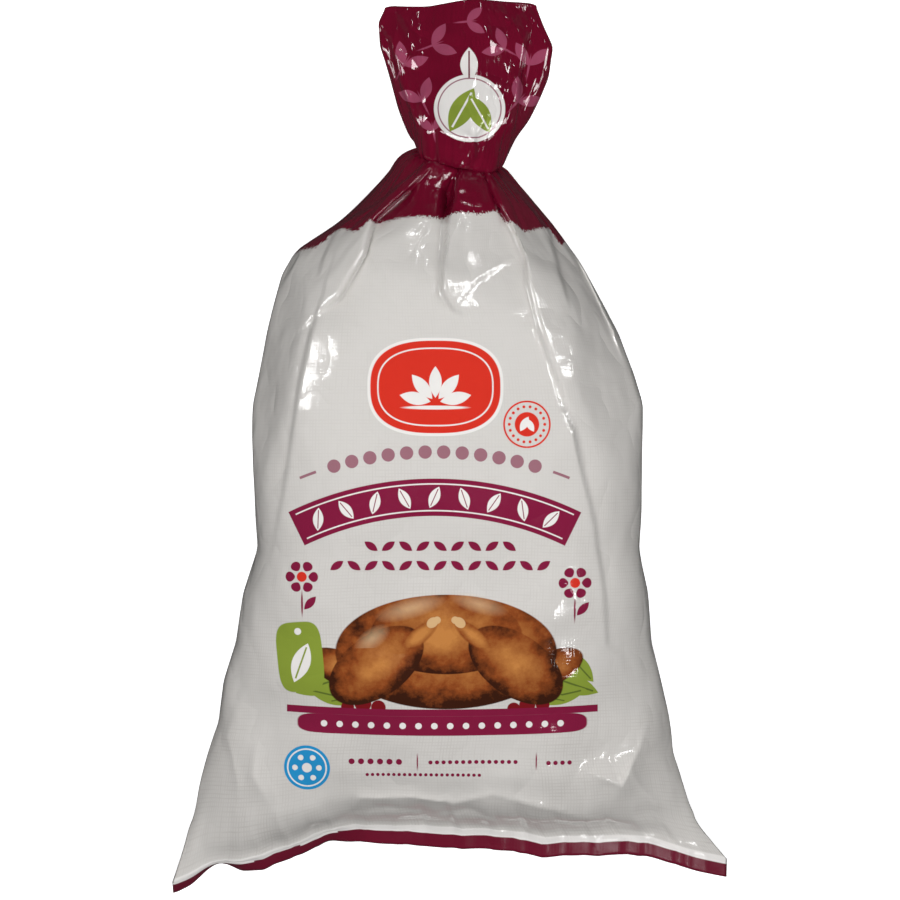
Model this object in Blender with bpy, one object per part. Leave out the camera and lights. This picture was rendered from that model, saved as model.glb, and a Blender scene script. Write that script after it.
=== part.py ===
"""A whole turkey shut in a printed film bag, lying on its back with the printed front up.

The bag is one closed solid: a flat tube of film, welded straight across at the tail end, pulled tight
round the bird, gathered into a neck and flared again above it. X runs across the bag, Y from the welded
end to the mouth, and Z up from the floor that the bag rests on. Lengths are in millimetres until the
mesh is made.
"""

import math

import bpy
import numpy as np

MM = 0.001

# Driving dimensions
SEAM_Y = -201.0  # where the weld starts, on the centre line
WELD_DEPTH = 10.0  # the strip of welded film beyond the seam
MOUTH_Y = 237.0  # the cut edge of the mouth
FILM_STACK = 1.2  # two films lying together, thickened so that they make a sound solid
NECK_PLEATS = 9  # folds round the pinched neck
FRONT_GATHER = 0.45  # how deep the front's small pleats are beside the back's: it has broad folds too
PINCH_Y = 153.0  # the tightest ring of the neck
LIP_Y = 158.0  # where the flare's front hangs down over the neck
LIP_DROP = 11.5  # how far it hangs down
LIP_REACH = 4.0  # how much of the flare goes with it
LIP_LEAN = 0.15  # how much further it hangs at the right than in the middle, as a share
FILM_COLOUR = (0.67, 0.65, 0.63, 1.0)
FILM_ROUGHNESS = 0.3

# How finely the film is divided
SHEET_COLUMNS = 42  # from the left fold to the right fold, on the front and again on the back
CORNER_BLUR = 3.2  # how far along the bag the corners of the tables are rounded

# Each table gives a value at places along the bag. The first two are the bag's outline seen from above.
LEFT_FOLD = (
    (-205, -153), (-201, -150.5), (-195, -147), (-189, -143), (-180, -137.5), (-170, -134), (-160, -130),
    (-150, -126), (-144, -123.3), (-138, -122.5), (-122, -120), (-101, -113), (-75, -109), (-51, -101),
    (-11, -103), (24, -103), (40, -100), (61, -96), (92, -88), (104, -81), (109, -74), (112, -69),
    (116, -63), (120, -57.5), (125, -51.8), (130, -46.5), (135, -41.6), (140, -36.8), (145, -31.8),
    (149, -27), (151, -25), (152.5, -12), (155, -13.5), (157, -16.5), (160, -19), (164, -20.7), (168, -22.2),
    (173, -24.3), (180, -27), (196, -31.5), (214, -37), (230, -38), (237, -34),
)
RIGHT_FOLD = (
    (-205, 154), (-201, 150.5), (-195, 142), (-192, 138.5), (-189, 133), (-185, 131), (-180, 129.5),
    (-170, 125), (-160, 119.5), (-150, 118.5), (-142, 117), (-118, 111), (-101, 106.5), (-75, 104.5),
    (-51, 99), (-30, 100), (24, 100.5), (40, 96), (61, 88), (92, 71.5), (99, 67.5), (104, 64), (111, 59),
    (118, 54), (125, 48), (131, 42.8), (138, 37.4), (146, 32.5), (150.5, 29.5), (152.5, 18.5), (155, 22.5),
    (157, 26.2), (160, 30), (164, 33.6), (168, 37.3), (173, 41.3), (184, 47), (196, 52), (214, 54.5),
    (237, 45.5),
)
FRONT_Z = (
    (-201, 46), (-197, 49), (-192, 65), (-185, 78), (-170, 91), (-150, 103), (-120, 119), (-80, 135),
    (-40, 147), (0, 153), (35, 153), (61, 149), (92, 141), (111, 131.5), (125, 120.5), (138, 107.5),
    (143, 101), (147, 95), (150, 90), (152.5, 86), (154.5, 92), (157, 101), (161, 105), (168, 102),
    (180, 93), (196, 83), (214, 73), (230, 65), (237, 61),
)
BACK_Z = (
    (-201, 45), (-196, 27), (-190, 13), (-180, 1), (-165, -8), (85, -8), (100, 1), (118, 14),
    (130, 27), (141, 42), (148, 56), (152.5, 63), (157, 57), (168, 55), (190, 55), (214, 57),
    (230, 58), (237, 59),
)
FOLD_Z = (
    (-201, 14), (-180, 30), (-150, 46), (-100, 64), (-50, 76), (0, 82), (60, 84), (100, 82),
    (125, 80), (140, 77), (152.5, 75), (165, 76), (196, 69), (237, 60),
)
FULLNESS = (
    (-201, 1.0), (-195, 1.05), (-180, 1.35), (-140, 1.9), (-100, 2.3), (-50, 2.8), (60, 2.8),
    (100, 2.4), (130, 2.1), (165, 2.0), (237, 2.6),
)
GATHER_DEPTH = (
    (90, 0.0), (125, 0.05), (140, 0.11), (150, 0.19), (157, 0.16), (168, 0.08), (196, 0.02),
    (215, 0.0),
)

# The weld and the mouth aren't straight: where each lies along the bag, at places across it.
SEAM_LINE = (
    (-150, -234.5), (-140, -230), (-132, -225), (-126, -222.5), (-120, -222), (-112, -221), (-100, -217.5),
    (-79, -210.5), (-65, -203.5), (-52, -201.5), (0, -202), (21, -202.5), (36, -205), (51, -208),
    (107, -208.5), (118, -213), (134, -218), (150, -222),
)
WELD_SHOWN = (
    (-150, 7), (-140, 6), (-132, 3), (-126, 1), (-120, 2), (-112, 6), (-100, 8), (-79, 7), (-65, 6),
    (-52, 9), (-32, 10), (150, 10),
)
MOUTH_LINE = ((-38, 232), (-33, 235), (-10, 235), (12, 238.5), (44, 237), (50, 233))
SEAM_PULL = ((-201, 1.0), (-192, 0.85), (-180, 0.45), (-160, 0.15), (-139, 0.0))
MOUTH_PULL = ((205, 0.0), (237, 1.0))
PINCH_LINE = (
    (-36, 0), (-30, 1.5), (-25, 4.5), (-18, 5.5), (-10, 4.5), (5, 1), (20, -1.5), (32, -3), (40, -1),
)
PINCH_PULL = ((128, 0.0), (147, 1.0), (153, 1.0), (168, 0.0))
# The flare is wavy: how far it swings up or down, at places across it, growing towards the mouth.
FLARE_WAVE = ((-38, 4), (-27, 1), (-14, -4), (2, 3), (16, 4), (30, -3), (42, -4), (52, 3))
FLARE_WAVE_SHARE = ((165, 0.0), (200, 0.6), (237, 1.0))

# Flat facets where the film is stretched: the way each faces, and how much bulge it takes off.
FACETS = (
    ((0.0, 0.04, 1.0), 5.0), ((0.0, -0.30, 0.95), 5.0), ((0.04, 0.52, 0.85), 2.0),
    ((-0.88, 0.19, 0.43), 6.0), ((0.75, 0.20, 0.63), 6.0), ((0.88, -0.10, 0.46), 5.0),
    ((-0.55, 0.62, 0.56), 4.0), ((0.62, 0.62, 0.48), 4.0), ((-0.75, -0.35, 0.56), 5.0),
    ((0.60, -0.45, 0.66), 5.0), ((-0.9, 0.0, -0.43), 5.0), ((0.9, 0.0, -0.43), 5.0),
)
FACET_SOFTNESS = 2.0
FULL_FROM = -185.0  # the facets show between these two places along the bag
FULL_TO = 135.0
FULL_RAMP = 20.0

# Overlapping folds of the front film seen from above: (x, y, step) along each, then how far the raised
# film reaches to the left of someone walking along it, and the lowered film to the right.
STEPS = (
    (((7, 151, 0), (4, 140, 12), (2, 129, 14), (-2, 119, 12), (-4, 94, 10), (-4, 80, 8), (2, 71, 5),
      (12, 67, 0)), 17, 8),
    (((-66, 70, 2), (-56, 78, 8), (-44, 100, 9), (-39, 118, 10), (-24, 132, 10), (-7, 150, 0)), 20, 7),
    (((-10, 152, 0), (-34, 131, 6), (-56, 117, 6), (-64, 99, 4), (-68, 86, 0)), 9, 5),
    (((16, 150, 0), (25, 127, 9), (32, 114, 10), (38, 99, 9), (40, 84, 7), (45, 63, 5), (55, 35, 4),
      (65, 8, 0)), 9, 18),
    (((62, 70, 0), (56, 92, 5), (51, 113, 6), (37, 131, 6), (19, 151, 0)), 12, 6),
    (((-67, 72, 2), (-72, 55, 5), (-77, 33, 5), (-81, 2, 3), (-86, -27, 2), (-94, -59, 0)), 26, 6),
    (((96, -112, 0), (82, -101, 3), (78, -64, 3), (74, -37, 3), (69, -16, 4), (64, 10, 4), (56, 26, 3),
      (50, 45, 0)), 26, 6),
    (((-45, 236, 0), (-32, 216, 4), (-26, 190, 5), (-19, 172, 5), (-14, 160, 0)), 14, 4),
    (((30, 158, 0), (33, 168, 5), (36, 186, 5), (39, 212, 4), (46, 236, 0)), 14, 4),
    (((8, 149, 0), (14, 153, 4), (13, 161, 5), (18, 170, 3), (20, 182, 0)), 7, 3),
    (((56, 118, 0), (62, 109, 6), (71, 90, 8), (84, 64, 6), (90, 45, 0)), 9, 8),
    (((-80, 118, 0), (-80, 108, 6), (-79, 101, 8), (-86, 90, 5), (-92, 78, 0)), 10, 5),
)
STEP_EDGE = 1.5
PINCH_CLEAR = 3.0  # folds and creases fade away this near to the tightest ring
# Creases that rise or dip on both sides alike: (x, y, rise) along each, then the reach on either side.
CREASES = (
    (((-64, -201, 0), (-52, -192, -4), (-32, -189, -5), (-8, -193, -4), (10, -189, -5), (32, -196, -4),
      (60, -199, -5), (112, -206, 0)), 5),
    (((-58, -202, 0), (-48, -184, 3), (-20, -183, 4), (2, -186, 4), (22, -180, 2), (48, -187, 4),
      (88, -199, 0)), 4),
    (((68, -166, 0), (75, -170, 3), (91, -177, 9), (99, -158, 6), (104, -140, 0)), 9),
    (((92, -158, 0), (97, -172, 3), (110, -190, 3), (112, -204, 0)), 5),
    (((-104, -116, 0), (-118, -150, 3), (-112, -178, 3), (-116, -200, 0)), 6),
    (((-90, -196, 0), (-104, -172, 3), (-102, -150, 0)), 6),
    (((2, 144, 0), (-2, 134, -11), (-2, 125, -11), (-4, 117, 0)), 6),
)


def table_value(table, places):
    """The table's value at each place, joined by straight lines whose corners are rounded off."""
    at, value = np.array(table, float).T
    offsets = np.linspace(-CORNER_BLUR, CORNER_BLUR, 9)
    weights = np.exp(-((offsets / CORNER_BLUR) ** 2))
    shifted = np.asarray(places, float)[..., None] + offsets
    return np.interp(shifted, at, value) @ (weights / weights.sum())


def row_places():
    """Places along the bag of the rings of points, closer together at the seam, neck and mouth."""
    spans = (
        (SEAM_Y, -181.0, 8), (-181.0, -161.0, 3), (-161.0, 60.0, 14), (60.0, 136.0, 12),
        (136.0, 166.0, 14), (166.0, 225.0, 7), (225.0, MOUTH_Y, 2),
    )
    places = [np.linspace(low, high, count, endpoint=False) for low, high, count in spans]
    return np.concatenate([*places, [MOUTH_Y]])


def section_curve(half_width, rise, fullness):
    """Half a flattened oval from fold to fold: fullness 2 is an ellipse, more is boxier, less has wings."""
    turn = np.linspace(0.0, math.pi, 181)[None, :]
    across = -np.sign(np.cos(turn)) * np.abs(np.cos(turn)) ** (2 / np.maximum(fullness, 2.0))
    return half_width * across, rise * np.abs(np.sin(turn)) ** (2 / fullness)


def evenly_spaced(x, z, count):
    """Points at equal steps of length along each row's own curve."""
    steps = np.hypot(np.diff(x, axis=1), np.diff(z, axis=1))
    length = np.concatenate([np.zeros((len(x), 1)), np.cumsum(steps, axis=1)], axis=1)
    wanted = np.linspace(0.0, 1.0, count + 1)
    share = length / length[:, -1:]
    return tuple(
        np.array([np.interp(wanted, along, row) for along, row in zip(share, rows)]) for rows in (x, z)
    )


def gathered(x, z, places, side):
    """Pleats round the neck: each ring is drawn in along lines that run out from the pinch."""
    share = np.linspace(0.0, 1.0, x.shape[1])[None, :]
    turn = math.pi * (1 - side * share)
    broad = np.abs(np.sin(NECK_PLEATS / 2 * turn + 0.6 * np.sin(2 * turn) + 0.35))
    fine = np.abs(np.sin((NECK_PLEATS - 1) * turn + 0.5 * np.sin(turn) + 1.1))
    wave = 0.7 * broad + 0.3 * fine - 2 / math.pi
    strength = FRONT_GATHER if side > 0 else 1.0
    scale = 1 + strength * table_value(GATHER_DEPTH, places)[:, None] * wave
    middle = (x[:, :1] + x[:, -1:]) / 2
    return middle + (x - middle) * scale, z[:, :1] + (z - z[:, :1]) * scale


def film_sheet(places, side):
    """One film from fold to fold, as rows of points: side is 1 for the front and -1 for the back."""
    middle_z = table_value(FRONT_Z if side > 0 else BACK_Z, places)[:, None]
    left, right, fold_z, fullness = (
        table_value(table, places)[:, None] for table in (LEFT_FOLD, RIGHT_FOLD, FOLD_Z, FULLNESS)
    )
    x, z = section_curve((right - left) / 2, middle_z - fold_z, fullness)
    x, z = evenly_spaced(x, z, SHEET_COLUMNS)
    x, z = gathered(x + (left + right) / 2, z + fold_z, places, side)
    y = places[:, None] * np.ones_like(x)
    y += table_value(SEAM_PULL, places)[:, None] * (table_value(SEAM_LINE, x) - SEAM_Y)
    y += table_value(MOUTH_PULL, places)[:, None] * (table_value(MOUTH_LINE, x) - MOUTH_Y)
    y += table_value(PINCH_PULL, places)[:, None] * table_value(PINCH_LINE, x)
    z += table_value(FLARE_WAVE_SHARE, places)[:, None] * table_value(FLARE_WAVE, x)
    if side > 0:
        lip = LIP_DROP * np.exp(-(((places - LIP_Y) / LIP_REACH) ** 2))[:, None]
        share = np.linspace(-1.0, 1.0, x.shape[1])
        y -= lip * (1 - share**4) * (1 + LIP_LEAN * share)
    return np.stack([x, y, z], axis=-1)


def beside_path(x, y, path):
    """For each point: its distance to the path, positive on the path's left, and the height there."""
    points = np.array(path, float)
    nearest = np.full(x.shape, np.inf)
    signed, height = np.zeros(x.shape), np.zeros(x.shape)
    for start, end in zip(points[:-1], points[1:]):
        run = end[:2] - start[:2]
        along = ((x - start[0]) * run[0] + (y - start[1]) * run[1]) / (run @ run)
        along = np.clip(along, 0.0, 1.0)
        off_x, off_y = x - start[0] - along * run[0], y - start[1] - along * run[1]
        distance = np.hypot(off_x, off_y)
        closer = distance < nearest
        left = np.where(run[0] * off_y - run[1] * off_x > 0, 1.0, -1.0)
        signed = np.where(closer, left * distance, signed)
        height = np.where(closer, start[2] + along * (end[2] - start[2]), height)
        nearest = np.minimum(distance, nearest)
    return signed, height


def step_relief(x, y, path, reach_up, reach_down):
    """One film edge over another: 0.6 of the step up on its left and 0.4 down on its right, fading."""
    signed, height = beside_path(x, y, path)
    up = 0.5 + 0.5 * np.tanh(signed / STEP_EDGE)
    near = np.exp(-np.abs(signed) / np.where(signed > 0, reach_up, reach_down))
    return height * near * (up - 0.4)


def crease_relief(x, y, path, reach):
    """A crease's rise, falling away on both sides."""
    signed, height = beside_path(x, y, path)
    return height * np.exp(-np.abs(signed) / reach)


def pressed(points, places):
    """Flattens the bulges that stand out furthest each way, as tight film does between two holds."""
    above_seam = np.clip((places - FULL_FROM) / FULL_RAMP, 0, 1)
    body = above_seam * np.clip((FULL_TO - places) / FULL_RAMP, 0, 1)
    inside = body > 0
    for facing, depth in FACETS:
        normal = np.array(facing) / np.linalg.norm(facing)
        height = points @ normal
        proud = (height - height[inside].max() + depth) / FACET_SOFTNESS
        taken = FACET_SOFTNESS * np.logaddexp(0.0, proud) * body[:, None]
        points = points - taken[..., None] * normal
    return points


def weld_rows(front, back):
    """Two rows beyond the seam on each film, for the welded strip, which lies flat or hangs down."""
    middle = (front[0] + back[0]) / 2
    shown = table_value(WELD_SHOWN, middle[:, 0])
    hang = np.sqrt(np.maximum(WELD_DEPTH**2 - shown**2, 9.0))
    away = np.stack([np.zeros_like(shown), -shown, -hang], axis=-1)
    facing = np.stack([np.zeros_like(shown), hang, shown], axis=-1) / np.hypot(hang, shown)[:, None]
    half = FILM_STACK / 2 * edge_taper(len(shown))[:, None] * facing
    return [np.stack([middle + away * share + sign * half for share in (1.0, 0.5)]) for sign in (1, -1)]


def edge_taper(count):
    """1 across the film, and 0 at its two folds, where the front and the back meet."""
    return 1 - np.linspace(-1.0, 1.0, count) ** 16


def kept_apart(front, back):
    """Front and back never closer than the thickness of the film, except at the folds."""
    middle = (front[..., 2] + back[..., 2]) / 2
    half = FILM_STACK / 2 * edge_taper(front.shape[1])
    front[..., 2] = np.maximum(front[..., 2], middle + half)
    back[..., 2] = np.minimum(back[..., 2], middle - half)


def closed_mesh(front, back):
    """Rings of points round the two films, joined by faces, with a row of faces across each end."""
    ring = np.concatenate([front, back[:, -2:0:-1]], axis=1)
    rows, columns = ring.shape[:2]
    faces = []
    for row in range(rows - 1):
        for i in range(columns):
            here, beside = row * columns + i, row * columns + (i + 1) % columns
            faces.append((here, beside, beside + columns, here + columns))
    for row, order in ((0, -1), (rows - 1, 1)):
        for i in range(SHEET_COLUMNS):
            across = (i, i + 1, (columns - i - 1) % columns, (columns - i) % columns)
            corners = [row * columns + k for k in dict.fromkeys(across)]
            faces.append(tuple(corners[::order]))
    return ring.reshape(-1, 3) * MM, faces


def bag_surface():
    """The front and back films as grids of points, from the weld's edge to the mouth."""
    places = row_places()
    front, back = film_sheet(places, 1), film_sheet(places, -1)
    both = pressed(np.concatenate([front, back], axis=1), places)
    front, back = both[:, : SHEET_COLUMNS + 1], both[:, SHEET_COLUMNS + 1 :]
    x, y = front[..., 0].copy(), front[..., 1].copy()
    fade = edge_taper(front.shape[1]) * np.clip(np.abs(places - PINCH_Y) / PINCH_CLEAR, 0, 1)[:, None]
    for path, reach_up, reach_down in STEPS:
        front[..., 2] += fade * step_relief(x, y, path, reach_up, reach_down)
    for path, reach in CREASES:
        front[..., 2] += fade * crease_relief(x, y, path, reach)
    back[:, 0], back[:, -1] = front[:, 0], front[:, -1]
    kept_apart(front, back)
    front_weld, back_weld = weld_rows(front, back)
    front, back = np.concatenate([front_weld, front]), np.concatenate([back_weld, back])
    for film in (front, back):
        film[..., 2] = np.maximum(film[..., 2], 0.0)
    return front, back


def printed_film():
    """Glossy off-white film."""
    material = bpy.data.materials.new("printed_film")
    material.use_nodes = True
    shader = material.node_tree.nodes["Principled BSDF"]
    shader.inputs["Base Color"].default_value = FILM_COLOUR
    shader.inputs["Roughness"].default_value = FILM_ROUGHNESS
    shader.inputs["Metallic"].default_value = 0.0
    return material


def main():
    for old in list(bpy.data.objects):
        bpy.data.objects.remove(old)
    points, faces = closed_mesh(*bag_surface())
    points[:, :2] -= (points.min(axis=0) + points.max(axis=0))[:2] / 2
    mesh = bpy.data.meshes.new("turkey_bag")
    mesh.from_pydata(points.tolist(), [], faces)
    mesh.update()
    mesh.shade_smooth()
    mesh.materials.append(printed_film())
    bag = bpy.data.objects.new("turkey_bag", mesh)
    bpy.context.scene.collection.objects.link(bag)


main()
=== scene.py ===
"""Looks of a whole turkey in its printed film bag, seen from straight above with the front up.

Lengths in the shape functions are in millimetres, and the meshes are made in metres.
"""

import math

import bpy
import mathutils
import numpy as np
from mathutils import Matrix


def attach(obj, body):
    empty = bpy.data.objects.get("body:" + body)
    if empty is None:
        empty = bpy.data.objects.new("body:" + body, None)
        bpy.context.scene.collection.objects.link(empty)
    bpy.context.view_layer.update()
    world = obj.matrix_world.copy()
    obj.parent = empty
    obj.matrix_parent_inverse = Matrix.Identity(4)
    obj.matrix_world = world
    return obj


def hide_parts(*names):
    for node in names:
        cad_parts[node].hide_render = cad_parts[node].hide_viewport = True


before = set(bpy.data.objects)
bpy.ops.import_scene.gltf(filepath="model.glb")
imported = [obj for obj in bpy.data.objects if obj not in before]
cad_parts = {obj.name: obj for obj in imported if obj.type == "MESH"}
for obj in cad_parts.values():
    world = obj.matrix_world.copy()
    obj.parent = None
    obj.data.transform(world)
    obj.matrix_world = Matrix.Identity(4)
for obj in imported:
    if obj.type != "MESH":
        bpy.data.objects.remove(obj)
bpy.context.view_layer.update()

MM = 0.001

# The bag's driving dimensions, as in the part's source
SEAM_Y = -201.0  # where the weld starts, on the centre line
WELD_DEPTH = 10.0  # the strip of welded film beyond the seam
MOUTH_Y = 237.0  # the cut edge of the mouth
FILM_STACK = 1.2  # two films lying together
NECK_PLEATS = 9  # folds round the pinched neck
FRONT_GATHER = 0.45  # how deep the front's small pleats are beside the back's
PINCH_Y = 153.0  # the tightest ring of the neck
LIP_Y = 158.0  # where the flare's front hangs down over the neck
LIP_DROP = 11.5  # how far it hangs down
LIP_REACH = 4.0  # how much of the flare goes with it
LIP_LEAN = 0.15  # how much further it hangs at the right than in the middle, as a share
CORNER_BLUR = 3.2  # how far along the bag the corners of the tables are rounded
FULL_FROM, FULL_TO = -185.0, 135.0  # the stretch of the bag that the facets press
FULL_RAMP = 20.0  # how far along the bag they set in and end
LEAST_HANG = 3.0  # how far the welded strip hangs down at least
PINCH_CLEAR = 3.0  # folds and creases fade out this near the pinch
STEP_DOWN = 0.4  # the share of a fold's step that lowers the film under it

# The film's own measures in the scene, and how finely it is divided: spans are (from, to, rows)
FILM_WIDTH = 300.0  # the tube of film when flat
SPLIT_Y = 152.5  # where the flare's mesh begins
SHEET_COLUMNS = 215  # from the left fold to the right fold, on the front and again on the back
BODY_SPANS = ((SEAM_Y, -150.0, 46), (-150.0, 60.0, 84), (60.0, 120.0, 38), (120.0, SPLIT_Y, 30))
FLARE_SPANS = ((SPLIT_Y, 170.0, 24), (170.0, MOUTH_Y, 46))
WELD_ROWS = 7  # rows of points on the welded strip
SLACK_WAVES = 14  # plane waves in the film's soft unevenness
HELD_HEIGHT = 6.0  # creases come in over this height above the floor

# Tables along the bag: (place, value)
LEFT_FOLD = (
    (-205, -153), (-201, -150.5), (-195, -147), (-189, -143), (-180, -137.5), (-170, -134), (-160, -130),
    (-150, -126), (-144, -123.3), (-138, -122.5), (-122, -120), (-101, -113), (-75, -109), (-51, -101),
    (-11, -103), (24, -103), (40, -100), (61, -96), (92, -88), (104, -81), (109, -74), (112, -69),
    (116, -63), (120, -57.5), (125, -51.8), (130, -46.5), (135, -41.6), (140, -36.8), (145, -31.8),
    (149, -27), (151, -25), (152.5, -12), (155, -13.5), (157, -16.5), (160, -19), (164, -20.7), (168, -22.2),
    (173, -24.3), (180, -27), (196, -31.5), (214, -37), (230, -38), (237, -34),
)
RIGHT_FOLD = (
    (-205, 154), (-201, 150.5), (-195, 142), (-192, 138.5), (-189, 133), (-185, 131), (-180, 129.5),
    (-170, 125), (-160, 119.5), (-150, 118.5), (-142, 117), (-118, 111), (-101, 106.5), (-75, 104.5),
    (-51, 99), (-30, 100), (24, 100.5), (40, 96), (61, 88), (92, 71.5), (99, 67.5), (104, 64), (111, 59),
    (118, 54), (125, 48), (131, 42.8), (138, 37.4), (146, 32.5), (150.5, 29.5), (152.5, 18.5), (155, 22.5),
    (157, 26.2), (160, 30), (164, 33.6), (168, 37.3), (173, 41.3), (184, 47), (196, 52), (214, 54.5),
    (237, 45.5),
)
FRONT_Z = (
    (-201, 46), (-197, 49), (-192, 65), (-185, 78), (-170, 91), (-150, 103), (-120, 119), (-80, 135),
    (-40, 147), (0, 153), (35, 153), (61, 149), (92, 141), (111, 131.5), (125, 120.5), (138, 107.5),
    (143, 101), (147, 95), (150, 90), (152.5, 86), (154.5, 92), (157, 101), (161, 105), (168, 102),
    (180, 93), (196, 83), (214, 73), (230, 65), (237, 61),
)
BACK_Z = (
    (-201, 45), (-196, 27), (-190, 13), (-180, 1), (-165, -8), (85, -8), (100, 1), (118, 14),
    (130, 27), (141, 42), (148, 56), (152.5, 63), (157, 57), (168, 55), (190, 55), (214, 57),
    (230, 58), (237, 59),
)
FOLD_Z = (
    (-201, 14), (-180, 30), (-150, 46), (-100, 64), (-50, 76), (0, 82), (60, 84), (100, 82),
    (125, 80), (140, 77), (152.5, 75), (165, 76), (196, 69), (237, 60),
)
FULLNESS = (
    (-201, 1.0), (-195, 1.05), (-180, 1.35), (-140, 1.9), (-100, 2.3), (-50, 2.8), (60, 2.8),
    (100, 2.4), (130, 2.1), (165, 2.0), (237, 2.6),
)
GATHER_DEPTH = (
    (90, 0.0), (125, 0.05), (140, 0.11), (150, 0.19), (157, 0.16), (168, 0.08), (196, 0.02),
    (215, 0.0),
)

# Tables across the bag
SEAM_LINE = (
    (-150, -234.5), (-140, -230), (-132, -225), (-126, -222.5), (-120, -222), (-112, -221), (-100, -217.5),
    (-79, -210.5), (-65, -203.5), (-52, -201.5), (0, -202), (21, -202.5), (36, -205), (51, -208),
    (107, -208.5), (118, -213), (134, -218), (150, -222),
)
WELD_SHOWN = (
    (-150, 7), (-140, 6), (-132, 3), (-126, 1), (-120, 2), (-112, 6), (-100, 8), (-79, 7), (-65, 6),
    (-52, 9), (-32, 10), (150, 10),
)
MOUTH_LINE = ((-38, 232), (-33, 235), (-10, 235), (12, 238.5), (44, 237), (50, 233))
SEAM_PULL = ((-201, 1.0), (-192, 0.85), (-180, 0.45), (-160, 0.15), (-139, 0.0))
MOUTH_PULL = ((205, 0.0), (237, 1.0))
PINCH_LINE = (
    (-36, 0), (-30, 1.5), (-25, 4.5), (-18, 5.5), (-10, 4.5), (5, 1), (20, -1.5), (32, -3), (40, -1),
)
PINCH_PULL = ((128, 0.0), (147, 1.0), (153, 1.0), (168, 0.0))
FLARE_WAVE = ((-38, 4), (-27, 1), (-14, -4), (2, 3), (16, 4), (30, -3), (42, -4), (52, 3))
FLARE_WAVE_SHARE = ((165, 0.0), (200, 0.6), (237, 1.0))

# Flat faces pressed on the body: (the way each faces, how much of the bulge it takes off)
FACETS = (
    ((0.0, 0.04, 1.0), 5.0), ((0.0, -0.30, 0.95), 5.0), ((0.04, 0.52, 0.85), 2.0),
    ((-0.88, 0.19, 0.43), 6.0), ((0.75, 0.20, 0.63), 6.0), ((0.88, -0.10, 0.46), 5.0),
    ((-0.55, 0.62, 0.56), 4.0), ((0.62, 0.62, 0.48), 4.0), ((-0.75, -0.35, 0.56), 5.0),
    ((0.60, -0.45, 0.66), 5.0), ((-0.9, 0.0, -0.43), 5.0), ((0.9, 0.0, -0.43), 5.0),
)
FACET_SOFTNESS = 1.2  # how far the facets' edges are rounded

# Overlapping folds of the front film seen from above, as in the part: (x, y, step) along each, then how
# far the raised film reaches to the left of someone walking along it, and the lowered film to the right.
STEPS = (
    (((7, 151, 0), (4, 140, 12), (2, 129, 14), (-2, 119, 12), (-4, 94, 10), (-4, 80, 8), (2, 71, 5),
      (12, 67, 0)), 17, 8),
    (((-66, 70, 2), (-56, 78, 8), (-44, 100, 9), (-39, 118, 10), (-24, 132, 10), (-7, 150, 0)), 20, 7),
    (((-10, 152, 0), (-34, 131, 6), (-56, 117, 6), (-64, 99, 4), (-68, 86, 0)), 9, 5),
    (((16, 150, 0), (25, 127, 9), (32, 114, 10), (38, 99, 9), (40, 84, 7), (45, 63, 5), (55, 35, 4),
      (65, 8, 0)), 9, 18),
    (((62, 70, 0), (56, 92, 5), (51, 113, 6), (37, 131, 6), (19, 151, 0)), 12, 6),
    (((-67, 72, 2), (-72, 55, 5), (-77, 33, 5), (-81, 2, 3), (-86, -27, 2), (-94, -59, 0)), 26, 6),
    (((96, -112, 0), (82, -101, 3), (78, -64, 3), (74, -37, 3), (69, -16, 4), (64, 10, 4), (56, 26, 3),
      (50, 45, 0)), 26, 6),
    (((-45, 236, 0), (-32, 216, 4), (-26, 190, 5), (-19, 172, 5), (-14, 160, 0)), 14, 4),
    (((30, 158, 0), (33, 168, 5), (36, 186, 5), (39, 212, 4), (46, 236, 0)), 14, 4),
    (((8, 149, 0), (14, 153, 4), (13, 161, 5), (18, 170, 3), (20, 182, 0)), 7, 3),
    (((56, 118, 0), (62, 109, 6), (71, 90, 8), (84, 64, 6), (90, 45, 0)), 9, 8),
    (((-80, 118, 0), (-80, 108, 6), (-79, 101, 8), (-86, 90, 5), (-92, 78, 0)), 10, 5),
)
STEP_EDGE = 0.8  # how far each step's edge is rounded

# Creases that rise or dip on both sides alike: (x, y, rise) along each, then the reach on either side.
CREASES = (
    (((-64, -201, 0), (-52, -192, -4), (-32, -189, -5), (-8, -193, -4), (10, -189, -5), (32, -196, -4),
      (60, -199, -5), (112, -206, 0)), 5),
    (((-58, -202, 0), (-48, -184, 3), (-20, -183, 4), (2, -186, 4), (22, -180, 2), (48, -187, 4),
      (88, -199, 0)), 4),
    (((68, -166, 0), (75, -170, 3), (91, -177, 9), (99, -158, 6), (104, -140, 0)), 9),
    (((92, -158, 0), (97, -172, 3), (110, -190, 3), (112, -204, 0)), 5),
    (((-104, -116, 0), (-118, -150, 3), (-112, -178, 3), (-116, -200, 0)), 6),
    (((-90, -196, 0), (-104, -172, 3), (-102, -150, 0)), 6),
    (((2, 144, 0), (-2, 134, -11), (-2, 125, -11), (-4, 117, 0)), 6),
)
# Small creases of the flare's film, which the part leaves out
FLARE_CREASES = (
    (((-29, 240, 2), (-28, 222, 3), (-31, 212, 2), (-24, 200, 3), (-22, 186, 2), (-19, 170, 0)), 4),
    (((-31, 212, 0), (-20, 206, 2), (-14, 212, 0)), 3),
    (((-12, 190, 0), (-16, 180, 2), (-5, 166, 2), (8, 160, 2), (24, 163, 0)), 3),
    (((22, 236, 0), (34, 224, 3), (40, 210, 2), (44, 206, 0)), 5),
    (((28, 222, 0), (20, 216, 2), (32, 208, 0)), 4),
    (((32, 204, 0), (35, 190, 2), (31, 176, 2), (28, 166, 0)), 3),
    (((4, 157, 0), (8, 163, 3), (14, 158, 3), (24, 162, 0)), 2),
)
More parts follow.
